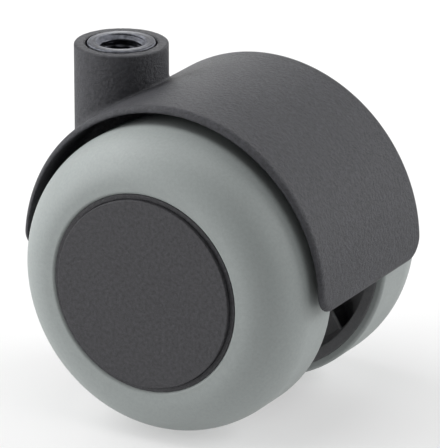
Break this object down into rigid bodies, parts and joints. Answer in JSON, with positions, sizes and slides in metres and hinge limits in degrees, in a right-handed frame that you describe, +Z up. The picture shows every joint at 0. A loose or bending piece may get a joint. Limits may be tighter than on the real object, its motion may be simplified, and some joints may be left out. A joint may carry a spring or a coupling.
{
  "type": "twin-wheel swivel castor",
  "caption": "Hooded twin-wheel furniture castor with soft light grey treads, dark caps and a threaded steel swivel bush in an offset neck.",
  "frame": {"origin": "on the swivel axis, at the top face of the steel bush where the chair leg seats", "axes": "+Z up along the swivel axis, +X from the swivel axis towards the trailing axle, Y along the axle"},
  "size_m": [0.0547, 0.0504, 0.0566],
  "materials": {
    "housing_nylon": "dark grey moulded nylon with a fine matt spark-eroded grain",
    "core_nylon": "dark grey moulded nylon, matt",
    "cap_nylon": "dark grey moulded nylon disc, fine matt grain",
    "tread_tpe": "light grey soft thermoplastic tread, satin",
    "zinced_steel": "zinc-plated turned steel",
    "spring_steel": "phosphated spring steel",
    "axle_steel": "ground bright steel",
    "acetal": "natural white acetal"
  },
  "bodies": {
    "root": {"swivel_bush": "zinced_steel", "upper_thrust_washer": "acetal", "lower_thrust_washer": "zinced_steel", "bush_circlip": "spring_steel"},
    "housing": {"housing": "housing_nylon", "neck_liner": "acetal", "axle": "axle_steel", "left_inner_washer": "acetal", "right_inner_washer": "acetal", "left_outer_washer": "zinced_steel", "right_outer_washer": "zinced_steel", "left_axle_retainer": "spring_steel", "right_axle_retainer": "spring_steel"},
    "left_wheel": {"left_wheel_core": "core_nylon", "left_tyre": "tread_tpe", "left_face_cap": "cap_nylon", "left_hub_sleeve": "acetal"},
    "right_wheel": {"right_wheel_core": "core_nylon", "right_tyre": "tread_tpe", "right_face_cap": "cap_nylon", "right_hub_sleeve": "acetal"}
  },
  "joints": [
    {"name": "swivel", "type": "hinge", "parent": "root", "child": "housing", "pos_m": [0, 0, 0], "axis": [0, 0, 1], "continuous": true},
    {"name": "left_wheel_spin", "type": "hinge", "parent": "housing", "child": "left_wheel", "pos_m": [0.0186, 0, -0.0316], "axis": [0, 1, 0], "continuous": true},
    {"name": "right_wheel_spin", "type": "hinge", "parent": "housing", "child": "right_wheel", "pos_m": [0.0186, 0, -0.0316], "axis": [0, 1, 0], "continuous": true}
  ]
}
